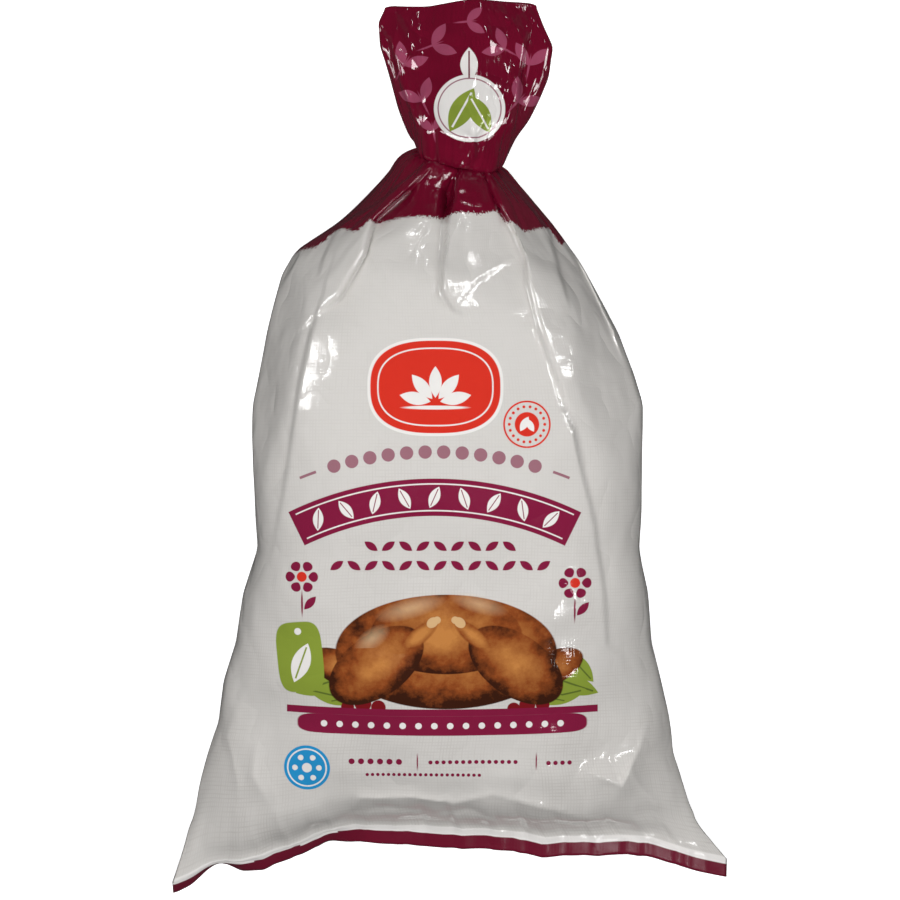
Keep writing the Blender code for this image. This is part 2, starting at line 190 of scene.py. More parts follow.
# Straight film creases: (seed, start, direction along the bag, count, reach, rise, width)
NECK_CREASES = (
    (3, SPLIT_Y, -1, 30, (12, 75), 2.4, 6.0),
    (5, SPLIT_Y, 1, 18, (20, 80), 2.0, 9.0),
)
SEAM_CREASES = (8, SEAM_Y, 1, 60, (8, 42), 1.6, 4.0)
FRONT_SHARE = 0.4  # how strong the neck's creases are on the front, beside the back

# Where the burgundy crown of the bag begins: on the front at places across it, on the back at shares
# of the way across it.
CROWN_LINE = (
    (-88, 102), (-69, 105), (-65, 108), (-60.5, 112.5), (-56, 114.3), (-48, 112), (-44, 115.5),
    (-41.5, 118.4), (-37.2, 116.3), (-32, 118), (-23, 119.7), (-13, 120.2), (-3, 119.2), (3, 122),
    (10, 122), (14, 121.2), (24, 123.3), (28.5, 117), (32, 117.3), (38, 112.3), (45, 114.3),
    (51.5, 115.5), (55, 110.5), (58, 106.5), (60, 108.5), (66, 110),
)
CROWN_BACK = ((0.0, 97), (0.3, 118), (0.7, 118), (1.0, 103))

# The print's arches are drawn round this point.
HUB = np.array([-7.9, -185.0])
# The borders between the front's zones of print, from the mouth down: (place, whether it is an arch)
ZONE_BORDERS = ((62.0, False), (-36.5, True), (-73.5, False), (-103.5, False), (-153.0, False))


def table_value(table, places):
    """Straight lines between the table's values, averaged with bell weights over the corner blur."""
    at, value = np.array(table, float).T
    offsets = np.linspace(-CORNER_BLUR, CORNER_BLUR, 9)
    weights = np.exp(-((offsets / CORNER_BLUR) ** 2))
    shifted = np.asarray(places, float)[..., None] + offsets
    return np.interp(shifted, at, value) @ (weights / weights.sum())


def section_curve(half_width, rise, fullness):
    """Half a flattened oval: |x / half width| ^ fullness + |z / rise| ^ fullness = 1 above the folds."""
    turn = np.linspace(0.0, math.pi, 361)[None, :]
    across = -np.sign(np.cos(turn)) * np.abs(np.cos(turn)) ** (2 / np.maximum(fullness, 2.0))
    return half_width * across, rise * np.abs(np.sin(turn)) ** (2 / fullness)


def evenly_spaced(x, z, count):
    """Each row's curve read again at equal steps of its own length."""
    steps = np.hypot(np.diff(x, axis=1), np.diff(z, axis=1))
    length = np.concatenate([np.zeros((len(x), 1)), np.cumsum(steps, axis=1)], axis=1)
    wanted = np.linspace(0.0, 1.0, count + 1)
    share = length / length[:, -1:]
    return tuple(
        np.array([np.interp(wanted, along, row) for along, row in zip(share, rows)]) for rows in (x, z)
    )


def gathered(x, z, places, side):
    """Each ring scaled about its middle by 1 + depth * (|sine| waves - their mean), round the neck."""
    share = np.linspace(0.0, 1.0, x.shape[1])[None, :]
    turn = math.pi * (1 - side * share)
    broad = np.abs(np.sin(NECK_PLEATS / 2 * turn + 0.6 * np.sin(2 * turn) + 0.35))
    fine = np.abs(np.sin((NECK_PLEATS - 1) * turn + 0.5 * np.sin(turn) + 1.1))
    wave = 0.7 * broad + 0.3 * fine - 2 / math.pi
    strength = FRONT_GATHER if side > 0 else 1.0
    scale = 1 + strength * table_value(GATHER_DEPTH, places)[:, None] * wave
    middle = (x[:, :1] + x[:, -1:]) / 2
    return middle + (x - middle) * scale, z[:, :1] + (z - z[:, :1]) * scale


def film_sheet(places, side):
    """One film from fold to fold, as x, y and z by row and column: side is 1 for the front, -1 for the back.

    Each row is a section curve between the two folds, moved along the bag to the wavy seam, pinch or mouth.
    The front's lip hangs down by drop * exp(-((place - lip) / reach)^2) * (1 - share^4), more at the right.
    """
    middle_z = table_value(FRONT_Z if side > 0 else BACK_Z, places)[:, None]
    left, right, fold_z, fullness = (
        table_value(table, places)[:, None] for table in (LEFT_FOLD, RIGHT_FOLD, FOLD_Z, FULLNESS)
    )
    x, z = section_curve((right - left) / 2, middle_z - fold_z, fullness)
    x, z = evenly_spaced(x, z, SHEET_COLUMNS)
    x, z = gathered(x + (left + right) / 2, z + fold_z, places, side)
    y = places[:, None] * np.ones_like(x)
    y += table_value(SEAM_PULL, places)[:, None] * (table_value(SEAM_LINE, x) - SEAM_Y)
    y += table_value(MOUTH_PULL, places)[:, None] * (table_value(MOUTH_LINE, x) - MOUTH_Y)
    y += table_value(PINCH_PULL, places)[:, None] * table_value(PINCH_LINE, x)
    z += table_value(FLARE_WAVE_SHARE, places)[:, None] * table_value(FLARE_WAVE, x)
    if side > 0:
        lip = LIP_DROP * np.exp(-(((places - LIP_Y) / LIP_REACH) ** 2))[:, None]
        share = np.linspace(-1.0, 1.0, x.shape[1])
        y -= lip * (1 - share**4) * (1 + LIP_LEAN * share)
    return np.stack([x, y, z], axis=-1)


def beside_path(x, y, path):
    """For each point: its distance to the path, positive on the path's left, and the height there."""
    points = np.array(path, float)
    nearest = np.full(x.shape, np.inf)
    signed, height = np.zeros(x.shape), np.zeros(x.shape)
    for start, end in zip(points[:-1], points[1:]):
        run = end[:2] - start[:2]
        along = ((x - start[0]) * run[0] + (y - start[1]) * run[1]) / (run @ run)
        along = np.clip(along, 0.0, 1.0)
        off_x, off_y = x - start[0] - along * run[0], y - start[1] - along * run[1]
        distance = np.hypot(off_x, off_y)
        closer = distance < nearest
        left = np.where(run[0] * off_y - run[1] * off_x > 0, 1.0, -1.0)
        signed = np.where(closer, left * distance, signed)
        height = np.where(closer, start[2] + along * (end[2] - start[2]), height)
        nearest = np.minimum(distance, nearest)
    return signed, height


def step_relief(x, y, path, reach_up, reach_down):
    """One film edge over another: most of the step up on its left, the rest down on its right, fading."""
    signed, height = beside_path(x, y, path)
    up = 0.5 + 0.5 * np.tanh(signed / STEP_EDGE)
    near = np.exp(-np.abs(signed) / np.where(signed > 0, reach_up, reach_down))
    return height * near * (up - STEP_DOWN)


def crease_relief(x, y, path, reach):
    """A crease's rise times exp(-distance / reach)."""
    signed, height = beside_path(x, y, path)
    return height * np.exp(-np.abs(signed) / reach)


def pressed(points, places):
    """Bulge beyond each facet's plane taken off: softness * log(1 + exp(height beyond / softness))."""
    body = np.clip((places - FULL_FROM) / FULL_RAMP, 0, 1) * np.clip((FULL_TO - places) / FULL_RAMP, 0, 1)
    inside = body > 0
    for facing, depth in FACETS:
        normal = np.array(facing) / np.linalg.norm(facing)
        height = points @ normal
        proud = (height - height[inside].max() + depth) / FACET_SOFTNESS
        taken = FACET_SOFTNESS * np.logaddexp(0.0, proud) * body[:, None]
        points = points - taken[..., None] * normal
    return points


def edge_taper(count):
    """1 across the film and 0 at its two folds."""
    return 1 - np.linspace(-1.0, 1.0, count) ** 16


def facing_out(ring):
    """Unit normals of a grid of rings: the cross product of its steps round and along the bag."""
    around = np.roll(ring, -1, axis=1) - np.roll(ring, 1, axis=1)
    along = np.gradient(ring, axis=0)
    normal = np.cross(around, along)
    return -normal / np.maximum(np.linalg.norm(normal, axis=-1, keepdims=True), 1e-9)


def pleats(places, columns, seed, start, direction, count, reach, rise, width):
    """Straight creases along the film: for each, rise * exp(-offset / width) * (1 - distance / reach)."""
    draw = np.random.default_rng(seed)
    share = np.arange(columns)[None, :] / columns
    distance = (places[:, None] - start) * direction
    total = np.zeros((len(places), columns))
    for number in range(count):
        middle = (number + draw.uniform(-0.4, 0.4)) / count
        length = draw.uniform(*reach)
        height = draw.uniform(0.35, 1.0) * rise * draw.choice([-1.0, 1.0])
        lean = draw.normal(0.0, 0.0004)
        off = (share - middle - lean * distance + 0.5) % 1.0 - 0.5
        fading = np.clip(1 - distance / length, 0, 1) * np.clip(1 + distance / 4, 0, 1)
        total += height * fading * np.exp(-np.abs(off) * 2 * FILM_WIDTH / (width * draw.uniform(0.6, 1.5)))
    return total


def slack(points, seed, size, rise):
    """Soft unevenness: a sum of plane waves with wavelengths near the size, in random directions."""
    draw = np.random.default_rng(seed)
    total = np.zeros(points.shape[:-1])
    for _ in range(SLACK_WAVES):
        wave = draw.normal(size=3)
        wave *= 2 * math.pi / (size * draw.uniform(0.7, 1.6) * np.linalg.norm(wave))
        total += np.sin(points @ wave + draw.uniform(0, 2 * math.pi))
    return rise * total / math.sqrt(SLACK_WAVES)


def wrinkled(ring, places):
    """Film creases pushed along the normals: out of the neck both ways, up from the seam, and soft slack.

    They fade out towards the two folds, so that these keep their outline, and where the bag rests.
    """
    columns = ring.shape[1]
    lift = sum(pleats(places, columns, *creases) for creases in NECK_CREASES)
    round_share = np.arange(columns) / columns
    lift *= np.where(round_share < 0.5, FRONT_SHARE, 1.0)[None, :]
    lift += pleats(places, columns, *SEAM_CREASES)
    lift += slack(ring, 11, 60.0, 0.8) + slack(ring, 12, 22.0, 0.1)
    held = np.clip(ring[..., 2] / HELD_HEIGHT, 0, 1)
    across = np.abs((round_share * 2) % 1.0 * 2 - 1)
    free = np.clip((1 - across) * 6, 0, 1)[None, :] * held
    return ring + (lift * free)[..., None] * facing_out(ring)


def weld_rows(front, back):
    """Rows from the welded strip's edge up to the seam: along its fall, half the film stack to each side."""
    middle = (front[0] + back[0]) / 2
    shown = table_value(WELD_SHOWN, middle[:, 0])
    hang = np.sqrt(np.maximum(WELD_DEPTH**2 - shown**2, LEAST_HANG**2))
    away = np.stack([np.zeros_like(shown), -shown, -hang], axis=-1)
    facing = np.stack([np.zeros_like(shown), hang, shown], axis=-1) / np.hypot(hang, shown)[:, None]
    half = FILM_STACK / 2 * edge_taper(len(shown))[:, None] * facing
    shares = np.linspace(1.0, 0.0, WELD_ROWS, endpoint=False)
    return [np.stack([middle + away * share + sign * half for share in shares]) for sign in (1, -1)]


def bag_rings(places):
    """The front and the back film together as rings of points, with folds, facets and wrinkles."""
    front, back = film_sheet(places, 1), film_sheet(places, -1)
    both = pressed(np.concatenate([front, back], axis=1), places)
    front, back = both[:, : SHEET_COLUMNS + 1], both[:, SHEET_COLUMNS + 1 :]
    x, y = front[..., 0].copy(), front[..., 1].copy()
    fade = edge_taper(front.shape[1]) * np.clip(np.abs(places - PINCH_Y) / PINCH_CLEAR, 0, 1)[:, None]
    for path, reach_up, reach_down in STEPS:
        front[..., 2] += fade * step_relief(x, y, path, reach_up, reach_down)
    for path, reach in (*CREASES, *FLARE_CREASES):
        front[..., 2] += fade * crease_relief(x, y, path, reach)
    ring = wrinkled(np.concatenate([front, back[:, -2:0:-1]], axis=1), places)
    front = ring[:, : SHEET_COLUMNS + 1]
    back = np.concatenate([ring[:, :1], ring[:, : SHEET_COLUMNS - 1 : -1]], axis=1)
    middle = (front[..., 2] + back[..., 2]) / 2
    half = FILM_STACK / 2 * edge_taper(front.shape[1])
    front[..., 2] = np.maximum(front[..., 2], middle + half)
    back[..., 2] = np.minimum(back[..., 2], middle - half)
    return front, back


def spread(*spans):
    """Places in equal steps over each (low, high, count) span, then the last span's end."""
    places = [np.linspace(low, high, count, endpoint=False) for low, high, count in spans]
    return np.concatenate([*places, [spans[-1][1]]])


def tube_faces(rows, columns):
    """Quads between the rings, row by row, then a row of quads and two triangles across each end."""
    row, column = np.meshgrid(np.arange(rows - 1), np.arange(columns), indexing="ij")
    start, following = row * columns, (column + 1) % columns
    corners = (start + column, start + following, start + columns + following, start + columns + column)
    sides = np.stack(corners, axis=-1).reshape(-1, 4)
    across = np.arange(1, SHEET_COLUMNS - 1)
    cap = np.stack([across, across + 1, columns - across - 1, columns - across], axis=-1)
    first, last = columns - 1, columns // 2
    ends = np.array([[0, 1, first], [last - 1, last, last + 1]])
    top = (rows - 1) * columns
    low_end = [*cap[:, ::-1].tolist(), *ends[:, ::-1].tolist()]
    return [*sides.tolist(), *low_end, *(cap + top).tolist(), *(ends + top).tolist()]


def front_zone(row, column, ring):
    """For each quad, how many of the borders between the zones of print it lies below."""
    x, y = ring[row, column, 0], ring[row, column, 1]
    arch = np.hypot(x - HUB[0], y - HUB[1]) + HUB[1]
    return sum((arch if arched else y) < place for place, arched in ZONE_BORDERS)


def skin(name, front, back, places, front_materials, back_material, middle):
    """A closed mesh from rings of points, which rides the bag's body and takes its solid's place.

    The UV map holds the film's own measures: metres round the tube, and metres along it. The front has
    one material all over, or one for each zone of print, going down from the mouth.
    """
    ring = np.concatenate([front, back[:, -2:0:-1]], axis=1)
    rows, columns = ring.shape[:2]
    mesh = bpy.data.meshes.new(name)
    points = (ring - (*middle, 0.0)).reshape(-1, 3) * MM
    mesh.from_pydata(points.tolist(), [], tube_faces(rows, columns))
    mesh.update()
    row, column = np.meshgrid(np.arange(rows - 1), np.arange(columns), indexing="ij")
    u = np.stack([column, column + 1, column + 1, column], axis=-1) * (FILM_WIDTH * MM / SHEET_COLUMNS)
    v = places[np.stack([row, row, row + 1, row + 1], axis=-1)] * MM
    film = np.zeros((len(mesh.loops), 2))
    ends_from = u.size
    low_end = (len(film) - ends_from) // 2
    film[:ends_from] = np.stack([u, v], axis=-1).reshape(-1, 2)
    film[ends_from : ends_from + low_end, 1] = places[0] * MM
    film[ends_from + low_end :, 1] = places[-1] * MM
    mesh.uv_layers.new(name="film").data.foreach_set("uv", film.ravel())
    crown_front = front[..., 1] - np.interp(front[..., 0], *np.array(CROWN_LINE, float).T)
    share = np.linspace(0, 1, columns - SHEET_COLUMNS - 1)
    crown_back = places[:, None] - np.interp(share, *np.array(CROWN_BACK, float).T)
    crown = mesh.attributes.new("crown", "FLOAT", "POINT")
    crown.data.foreach_set("value", np.concatenate([crown_front, crown_back], axis=1).ravel() * MM)
    for material in (*front_materials, back_material):
        mesh.materials.append(material)
    back_slot = len(front_materials)
    zone = front_zone(row, column, ring) if back_slot > 1 else np.zeros_like(row)
    slots = np.full(len(mesh.polygons), back_slot)
    slots[: row.size] = np.where(column >= SHEET_COLUMNS, back_slot, zone).ravel()
    mesh.polygons.foreach_set("material_index", slots)
    mesh.shade_smooth()
    piece = bpy.data.objects.new(name, mesh)
    bpy.context.scene.collection.objects.link(piece)
    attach(piece, "root")
    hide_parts("turkey_bag")


class Nodes:
    """Short calls that add shader nodes to one tree. Each gives back an output socket."""

    def __init__(self, tree):
        self.tree = tree

    def put(self, socket, value):
        if isinstance(value, bpy.types.NodeSocket):
            self.tree.links.new(value, socket)
        else:
            socket.default_value = value

    def node(self, kind, inputs=(), **settings):
        made = self.tree.nodes.new(kind)
        for name, value in settings.items():
            setattr(made, name, value)
        for key, value in dict(inputs).items():
            self.put(made.inputs[key], value)
        return made

    def math(self, operation, first, second=0.0, clamp=False):
        made = self.node("ShaderNodeMath", {0: first, 1: second}, operation=operation, use_clamp=clamp)
        return made.outputs[0]

    def vector(self, operation, first, second):
        return self.node("ShaderNodeVectorMath", {0: first, 1: second}, operation=operation).outputs[0]

    def noise(self, vector, scale, detail, roughness=0.5):
        inputs = {"Vector": vector, "Scale": scale, "Detail": detail, "Roughness": roughness}
        return self.node("ShaderNodeTexNoise", inputs).outputs["Fac"]

    def ramp(self, value, low, high, start=0.0, end=1.0):
        inputs = {"Value": value, "From Min": low, "From Max": high, "To Min": start, "To Max": end}
        return self.node("ShaderNodeMapRange", inputs, clamp=True).outputs[0]

    def mix(self, share, first, second):
        made = self.node("ShaderNodeMix", data_type="RGBA")
        self.put(made.inputs[0], share)
        self.put(made.inputs[6], first)
        self.put(made.inputs[7], second)
        return made.outputs[2]

    def axis(self, vector, number):
        return self.node("ShaderNodeSeparateXYZ", {0: vector}).outputs[number]

    def ridges(self, noise):
        """|noise - middle|: sharp where the noise passes its middle."""
        return self.math("ABSOLUTE", self.math("SUBTRACT", noise, 0.5))

    def within(self, distance, edge):
        """1 inside and 0 outside, from the distance inside a border, with a soft edge."""
        return self.math("ADD", self.math("DIVIDE", distance, edge), 0.5, clamp=True)

    def bump(self, height, distance, strength, normal=None):
        inputs = {"Height": height, "Distance": distance, "Strength": strength}
        if normal is not None:
            inputs["Normal"] = normal
        return self.node("ShaderNodeBump", inputs).outputs[0]


def group(name, inputs, outputs):
    """An empty shader group with the named inputs (name, kind, value) and outputs (name, kind)."""
    tree = bpy.data.node_groups.new(name, "ShaderNodeTree")
    for label, kind, value in inputs:
        socket = tree.interface.new_socket(label, in_out="INPUT", socket_type=kind)
        if value is not None:
            socket.default_value = value
    for label, kind in outputs:
        tree.interface.new_socket(label, in_out="OUTPUT", socket_type=kind)
    nodes = Nodes(tree)
    return nodes, tree.nodes.new("NodeGroupInput").outputs, tree.nodes.new("NodeGroupOutput").inputs


FLOAT, VECTOR = "NodeSocketFloat", "NodeSocketVector"
# What every printed shape is given: where the film is, the shape's own place and turn, and its soft edge
PLACED = (("Place", VECTOR, None), ("Centre", VECTOR, None), ("Turn", FLOAT, 0.0), ("Edge", FLOAT, 0.25))


def local_place(n, given):
    """The place measured from a shape's centre, turned back by the shape's own turn."""
    off = n.vector("SUBTRACT", given["Place"], given["Centre"])
    turned = n.node("ShaderNodeVectorRotate", {"Vector": off, "Angle": given["Turn"]},
                    rotation_type="Z_AXIS", invert=True).outputs[0]
    return n.axis(turned, 0), n.axis(turned, 1)


def oval_group():
    """1 inside |x / half width| ^ power + |y / half height| ^ power = 1; depth is 0 at its edge, 1 inside."""
    n, given, out = group(
        "oval",
        [*PLACED, ("Half Width", FLOAT, 1.0), ("Half Height", FLOAT, 1.0), ("Power", FLOAT, 2.0)],
        [("Mask", FLOAT), ("Depth", FLOAT)],
    )
    x, y = local_place(n, given)
    x = n.math("POWER", n.math("ABSOLUTE", n.math("DIVIDE", x, given["Half Width"])), given["Power"])
    y = n.math("POWER", n.math("ABSOLUTE", n.math("DIVIDE", y, given["Half Height"])), given["Power"])
    reach = n.math("POWER", n.math("ADD", x, y), n.math("DIVIDE", 1.0, given["Power"]))
    depth = n.math("SUBTRACT", 1.0, reach)
    small = n.math("MINIMUM", given["Half Width"], given["Half Height"])
    n.put(out["Mask"], n.within(n.math("MULTIPLY", depth, small), given["Edge"]))
    n.put(out["Depth"], n.math("MAXIMUM", depth, 0.0))
    return n.tree


def leaf_group():
    """1 inside |y| = half width * (1 - (x / half length) ^ 2); the midrib is the thin line inside it."""
    n, given, out = group(
        "leaf",
        [*PLACED, ("Half Length", FLOAT, 1.0), ("Half Width", FLOAT, 1.0)],
        [("Mask", FLOAT), ("Midrib", FLOAT)],
    )
    x, y = local_place(n, given)
    along = n.math("DIVIDE", x, given["Half Length"])
    wide = n.math("MULTIPLY", given["Half Width"], n.math("SUBTRACT", 1.0, n.math("MULTIPLY", along, along)))
    inside = n.math("SUBTRACT", wide, n.math("ABSOLUTE", y))
    n.put(out["Mask"], n.within(inside, given["Edge"]))
    rib = n.math("SUBTRACT", n.math("MULTIPLY", given["Half Width"], 0.09), n.math("ABSOLUTE", y))
    near = n.math("LESS_THAN", n.math("ABSOLUTE", along), 0.8)
    n.put(out["Midrib"], n.math("MULTIPLY", near, n.within(rib, given["Edge"])))
    return n.tree


def band_group():
    """1 between two radii, between two directions from the centre; beads are dots along its middle."""
    n, given, out = group(
        "band",
        [*PLACED, ("Radius", FLOAT, 1.0), ("Half Breadth", FLOAT, 1.0), ("Half Sweep", FLOAT, 1.0),
         ("Pitch", FLOAT, 5.0), ("Bead", FLOAT, 1.0)],
        [("Mask", FLOAT), ("Beads", FLOAT)],
    )
    x, y = local_place(n, given)
    out_from = n.math("SQRT", n.math("ADD", n.math("MULTIPLY", x, x), n.math("MULTIPLY", y, y)))
    off = n.math("SUBTRACT", out_from, given["Radius"])
    round_it = n.math("MULTIPLY", n.math("ARCTAN2", y, x), given["Radius"])
    reach = n.math("MULTIPLY", given["Half Sweep"], given["Radius"])
    beyond = n.math("SUBTRACT", reach, n.math("ABSOLUTE", round_it))
    swept = n.within(beyond, given["Edge"])
    thick = n.math("SUBTRACT", given["Half Breadth"], n.math("ABSOLUTE", off))
    n.put(out["Mask"], n.math("MULTIPLY", swept, n.within(thick, given["Edge"])))
    half = n.math("MULTIPLY", given["Pitch"], 0.5)
    step = n.math("PINGPONG", n.math("ADD", round_it, half), half)
    far = n.math("SQRT", n.math("ADD", n.math("MULTIPLY", step, step), n.math("MULTIPLY", off, off)))
    bead = n.within(n.math("SUBTRACT", given["Bead"], far), given["Edge"])
    n.put(out["Beads"], n.math("MULTIPLY", swept, bead))
    return n.tree


def linen_group():
    """Fine woven-look lines printed both ways on the film, uneven in strength: cosine ^ 6 across each."""
    n, given, out = group("linen", [("Film", VECTOR, None), ("Spacing", FLOAT, 0.0017)], [("Lines", FLOAT)])
    per = n.math("DIVIDE", 2 * math.pi, given["Spacing"])
    lines = []
    for axis, stretch in ((0, (1.0, 0.08, 1.0)), (1, (0.08, 1.0, 1.0))):
        patchy = n.noise(n.vector("MULTIPLY", given["Film"], stretch), 900.0, 1.0)
        turn = n.math("MULTIPLY", n.math("MULTIPLY", n.axis(given["Film"], axis), per), 0.5)
        peak = n.math("POWER", n.math("ABSOLUTE", n.math("COSINE", turn)), 6.0)
        lines.append(n.math("MULTIPLY", peak, n.ramp(patchy, 0.35, 0.65, 0.25, 1.0)))
    n.put(out["Lines"], n.math("MAXIMUM", *lines))
    return n.tree


def crumple_group():
    """Creases of stretched film: |noise - middle| all over, and noise drawn out near neck and seam."""
    n, given, out = group("crumple", [("Film", VECTOR, None)], [("Relief", FLOAT)])
    along = n.axis(given["Film"], 1)
    drawn = n.noise(n.vector("MULTIPLY", given["Film"], (1.0, 0.16, 1.0)), 75.0, 1.0, 0.45)
    loose = n.ridges(n.noise(given["Film"], 30.0, 2.0))
    near_neck = n.ramp(n.math("ABSOLUTE", n.math("SUBTRACT", along, SPLIT_Y * MM)), 0.0, 0.085, 1.0, 0.0)
    near_seam = n.ramp(along, SEAM_Y * MM, (SEAM_Y + 45) * MM, 1.0, 0.0)
    near = n.math("MAXIMUM", near_neck, near_seam)
    drawn = n.math("MULTIPLY", drawn, n.math("ADD", n.math("MULTIPLY", near, 0.3), 0.04))
    n.put(out["Relief"], n.math("ADD", drawn, n.math("MULTIPLY", loose, 2.2)))
    return n.tree


OVAL, LEAF, BAND = oval_group(), leaf_group(), band_group()
LINEN, CRUMPLE = linen_group(), crumple_group()


def colour(*shown):
    """A shader colour from the 0 to 255 values of red, green and blue that a screen shows."""
    share = np.array(shown) / 255
    return (*np.where(share <= 0.04045, share / 12.92, ((share + 0.055) / 1.055) ** 2.4), 1.0)


FILM_WHITE = colour(212, 209, 205)
FILM_LINE = colour(192, 187, 182)
BURGUNDY = colour(108, 10, 38)
PRINT_BURGUNDY = colour(130, 28, 62)
BURGUNDY_LIGHT = colour(156, 70, 98)
STRIP_RED = colour(108, 17, 42)
DUSKY_ROSE = colour(156, 108, 120)
BADGE_RED = colour(214, 52, 38)
LEAF_GREEN = colour(136, 154, 58)
LEAF_RIB = colour(92, 108, 44)
SKY_BLUE = colour(40, 146, 204)
PRINT_WHITE = colour(236, 233, 230)
ROAST_DARK = colour(58, 28, 16)
ROAST_BROWN = colour(138, 70, 32)
ROAST_GOLD = colour(196, 130, 68)
ROAST_SHINE = colour(240, 208, 162)
BONE = colour(214, 176, 128)
BERRY = colour(122, 22, 30)


class Ink:
    """Print laid over a colour, shape by shape, in millimetres across and along the bag's front."""

    def __init__(self, nodes, place, under):
        self.n = nodes
        self.place = place
        self.under = under

    def shape(self, tree, centre, turn, inputs):
        made = self.n.node("ShaderNodeGroup", node_tree=tree)
        self.n.put(made.inputs["Place"], self.place)
        self.n.put(made.inputs["Centre"], (*centre, 0.0))
        self.n.put(made.inputs["Turn"], math.radians(turn))
        for key, value in inputs.items():
            self.n.put(made.inputs[key], value)
        return made.outputs

    def fill(self, mask, ink):
        self.under = self.n.mix(mask, self.under, ink)

    def oval(self, centre, size, ink, turn=0.0, power=2.0):
        inputs = {"Half Width": size[0], "Half Height": size[1], "Power": power, "Edge": 0.3}
        self.fill(self.shape(OVAL, centre, turn, inputs)["Mask"], ink)

    def leaf(self, centre, size, ink, turn=0.0, rib=None):
        out = self.shape(LEAF, centre, turn, {"Half Length": size[0], "Half Width": size[1]})
        self.fill(out["Mask"], ink)
        if rib is not None:
            self.fill(out["Midrib"], rib)

    def band(self, centre, radius, half_breadth, ink, turn=90.0, half_sweep=180.0):
        inputs = {"Radius": radius, "Half Breadth": half_breadth, "Half Sweep": math.radians(half_sweep)}
        self.fill(self.shape(BAND, centre, turn, inputs)["Mask"], ink)

    def beads(self, centre, radius, bead, pitch, ink, pairs, turn=90.0):
        inputs = {"Radius": radius, "Bead": bead, "Pitch": pitch, "Half Sweep": pairs * pitch / radius}
        self.fill(self.shape(BAND, centre, turn, inputs)["Beads"], ink)


def plain_film(n, film):
    """Off-white film with its linen lines: the colour, and the lines as relief."""
    linen = n.node("ShaderNodeGroup", node_tree=LINEN)
    n.put(linen.inputs["Film"], film)
    cloudy = n.ramp(n.noise(film, 25.0, 2.0), 0.3, 0.7, 0.35, 1.0)
    along = n.axis(film, 1)
    strength = n.ramp(along, SEAM_Y * MM, 0.05, 0.75, 0.35)
    lines = n.math("MULTIPLY", linen.outputs["Lines"], n.math("MULTIPLY", cloudy, strength))
    return n.mix(lines, FILM_WHITE, FILM_LINE), linen.outputs["Lines"]


def crown_and_strip(n, film, under):
    """Burgundy over the crown, to a slightly ragged edge, and over the strip beyond a white band at the seam:
    partly the strip's white margin, partly a painted highlight of the flat sealed film.
    """
    crown = n.node("ShaderNodeAttribute", attribute_name="crown").outputs["Fac"]
    ragged = n.math("MULTIPLY", n.math("SUBTRACT", n.noise(film, 800.0, 3.0, 0.6), 0.5), 0.007)
    above = n.ramp(n.math("ADD", crown, ragged), -0.0002, 0.0002)
    along = n.axis(film, 1)
    # The white band at the seam is painted brighter than the film: partly the strip's margin, partly a
    # painted highlight.
    white_margin_and_highlight = n.ramp(along, (SEAM_Y + 1.4) * MM, (SEAM_Y + 0.8) * MM)
    strip = n.ramp(along, (SEAM_Y - 2.6) * MM, (SEAM_Y - 3.0) * MM)
    crowned = n.mix(white_margin_and_highlight, n.mix(above, under, BURGUNDY), PRINT_WHITE)
    return n.mix(strip, crowned, STRIP_RED)


def film_material(name, paint, middle):
    """Glossy printed film, less so on the weld: the paint function gives its colour and its fine relief."""
    material = bpy.data.materials.new(name)
    material.use_nodes = True
    n = Nodes(material.node_tree)
    shader = material.node_tree.nodes["Principled BSDF"]
    film = n.node("ShaderNodeUVMap", uv_map="film").outputs[0]
    place = n.vector("MULTIPLY", n.node("ShaderNodeTexCoord").outputs["Object"], (1 / MM, 1 / MM, 1 / MM))
    place = n.vector("ADD", place, (*middle, 0.0))
    ink, relief = paint(n, film, place)
    n.put(shader.inputs["Base Color"], ink)
    crumple = n.node("ShaderNodeGroup", node_tree=CRUMPLE)
    n.put(crumple.inputs["Film"], film)
    creased = n.bump(crumple.outputs["Relief"], 0.0012, 1.0)
    n.put(shader.inputs["Normal"], n.bump(relief, 0.00006, 0.35, creased))
    rough = n.ramp(n.noise(film, 40.0, 3.0), 0.3, 0.7, 0.06, 0.12)
    along = n.axis(film, 1)
    welded = n.ramp(along, (SEAM_Y + 1.4) * MM, (SEAM_Y - 2.6) * MM, 0.0, 0.22)
    n.put(shader.inputs["Roughness"], n.math("ADD", rough, welded))
    shader.inputs["IOR"].default_value = 1.5
    return material


def badge(ink):
    """Red oval badge with a white keyline and a fan of white leaves."""
    centre = np.array([-7.4, 32.0])
    edges = (34.5, 25.0), (33.0, 23.5), (29.5, 20.0), (28.8, 19.3)
    for size, shade in zip(edges, (PRINT_WHITE, BADGE_RED, PRINT_WHITE, BADGE_RED)):
        ink.oval(centre, size, shade, power=2.6)
    for turn in (90, 50, 130, 12, 168):
        lean = math.radians(turn)
        ink.leaf(centre + (10.5 * math.cos(lean), 10.5 * math.sin(lean) - 8), (8.0, 3.2), PRINT_WHITE, turn)
    ink.oval(centre + (0, -10.5), (16.0, 1.0), PRINT_WHITE)


def stamp(ink):
    """Small red ring with beads round a heart-shaped pair of leaves."""
    centre = np.array([39.0, 13.0])
    ink.band(centre, 11.6, 0.45, BADGE_RED)
    ink.beads(centre, 9.0, 0.75, 2 * math.pi * 9.0 / 18, BADGE_RED, 9)
    ink.oval(centre, (6.2, 6.2), BADGE_RED)
    ink.leaf(centre + (-1.3, 0.2), (4.2, 1.9), PRINT_WHITE, 60)
    ink.leaf(centre + (1.6, -0.4), (3.8, 1.7), PRINT_WHITE, 120)


